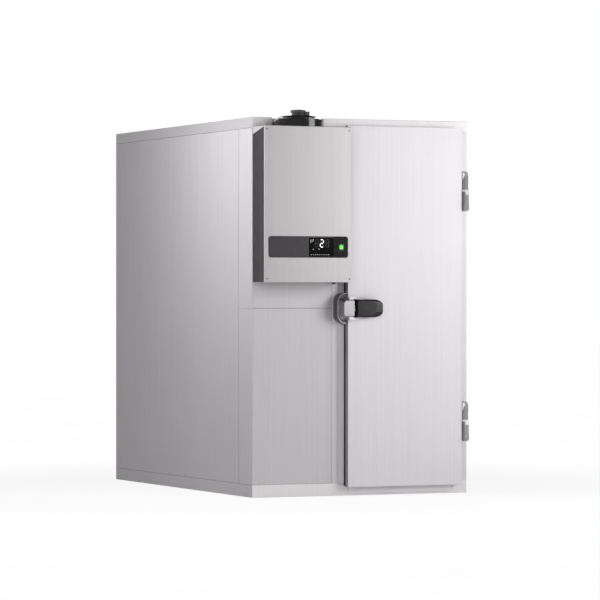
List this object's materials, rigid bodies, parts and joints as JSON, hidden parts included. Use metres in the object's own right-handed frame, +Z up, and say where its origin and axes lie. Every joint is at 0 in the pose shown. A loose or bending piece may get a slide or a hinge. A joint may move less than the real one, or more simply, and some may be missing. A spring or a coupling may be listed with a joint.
{
  "type": "walk-in cold room",
  "caption": "Small insulated cold room with a hinged door and a wall-hung refrigeration unit at the front.",
  "frame": {"origin": "middle of the underside of the floor panel", "axes": "+Z up, +Y from the door to the back, +X to the right seen from the front"},
  "size_m": [1.32, 2.296, 2.143],
  "materials": {
    "steel_panel": "satin brushed sheet",
    "grey_sheet": "satin powder coat",
    "stainless": "brushed",
    "zinc_steel": "zinc plated",
    "chrome": "bright plated",
    "black_plastic": "moulded, semi-gloss",
    "dark_plastic": "moulded, glossy",
    "grey_plastic": "moulded, matt",
    "frame_plastic": "extruded, matt",
    "white_plastic": "moulded, matt",
    "rubber": "matt",
    "aluminium": "mill finish",
    "copper": "drawn tube",
    "black_enamel": "gloss enamel",
    "milk_glass": "opal",
    "display": "polished",
    "green_plastic": "translucent moulded",
    "chequer_plate": "rolled tread pattern"
  },
  "bodies": {
    "room": {"floor_panel": "steel_panel", "floor_tread": "chequer_plate", "threshold_plate": "stainless", "ceiling_panel_front": "steel_panel", "ceiling_panel_rear": "steel_panel", "wall_panel_left": "steel_panel", "wall_panel_right": "steel_panel", "wall_panel_rear": "steel_panel", "corner_panel_lower": "steel_panel", "corner_panel_upper": "steel_panel", "door_post_left": "steel_panel", "door_post_right": "steel_panel", "door_header": "steel_panel", "door_frame": "frame_plastic", "cam_locks": "zinc_steel", "cam_lock_caps": "white_plastic", "lamp_base": "white_plastic", "lamp_globe": "milk_glass", "hinge_frame_parts": "grey_plastic", "hinge_pins": "zinc_steel", "hinge_rings": "white_plastic", "hinge_bolts": "zinc_steel", "keeper_housing": "dark_plastic", "keeper_pin": "zinc_steel", "unit_chassis": "grey_sheet", "unit_side_panels": "grey_sheet", "front_cover": "stainless", "cover_screws": "zinc_steel", "unit_top_plate": "grey_sheet", "fan_ring": "black_plastic", "fan_guard": "black_plastic", "fan_motor": "black_enamel", "condenser_coil": "aluminium", "compressor": "black_enamel", "evaporating_tray": "black_plastic", "filter_drier": "copper", "refrigerant_pipes": "copper", "control_board": "dark_plastic", "control_panel": "dark_plastic", "display_window": "display", "cable_gland": "black_plastic", "insulated_plug": "steel_panel", "evaporator_housing": "steel_panel", "evaporator_coil": "aluminium", "evaporator_motor": "black_enamel", "evaporator_guard": "black_plastic", "drip_tray": "white_plastic"},
    "door": {"door_leaf": "steel_panel", "door_gasket": "rubber", "hinge_door_parts": "grey_plastic", "latch_housing": "chrome", "lever_pin": "zinc_steel", "release_bush": "white_plastic"},
    "lever": {"latch_lever": "zinc_steel", "handle_grip": "black_plastic"},
    "release": {"release_rod": "zinc_steel"},
    "condenser_rotor": {"condenser_fan": "black_plastic"},
    "cooler_rotor": {"evaporator_fan": "black_plastic"},
    "key": {"power_button": "green_plastic"},
    "roller": {"keeper_roller": "white_plastic"}
  },
  "joints": [
    {"name": "door_swing", "type": "hinge", "parent": "room", "child": "door", "pos_m": [0.619, -1.13, 1.045], "axis": [0, 0, 1], "range_deg": [0, 170]},
    {"name": "lever_pull", "type": "hinge", "parent": "door", "child": "lever", "pos_m": [-0.1, -1.152, 1.044], "axis": [0, 0, -1], "range_deg": [0, 25], "stiffness_Nm_per_rad": 2},
    {"name": "release_push", "type": "slide", "parent": "door", "child": "release", "axis": [0, -1, 0], "range_m": [0, 0.0245]},
    {"name": "condenser_fan_spin", "type": "hinge", "parent": "room", "child": "condenser_rotor", "pos_m": [-0.396, -1.088, 2.069], "axis": [0, 0, 1], "continuous": true},
    {"name": "cooler_fan_spin", "type": "hinge", "parent": "room", "child": "cooler_rotor", "pos_m": [-0.385, -0.638, 1.912], "axis": [0, 1, 0], "continuous": true},
    {"name": "power_key_press", "type": "slide", "parent": "room", "child": "key", "axis": [0, 1, 0], "range_m": [0, 0.002], "stiffness_N_per_m": 600},
    {"name": "keeper_roller_spin", "type": "hinge", "parent": "room", "child": "roller", "pos_m": [-0.142, -1.09, 1.044], "axis": [0, 0, 1], "continuous": true}
  ],
  "couplings": [
    {"joint": "release_push", "follows": "lever_pull", "m_per_rad": 0.055}
  ]
}
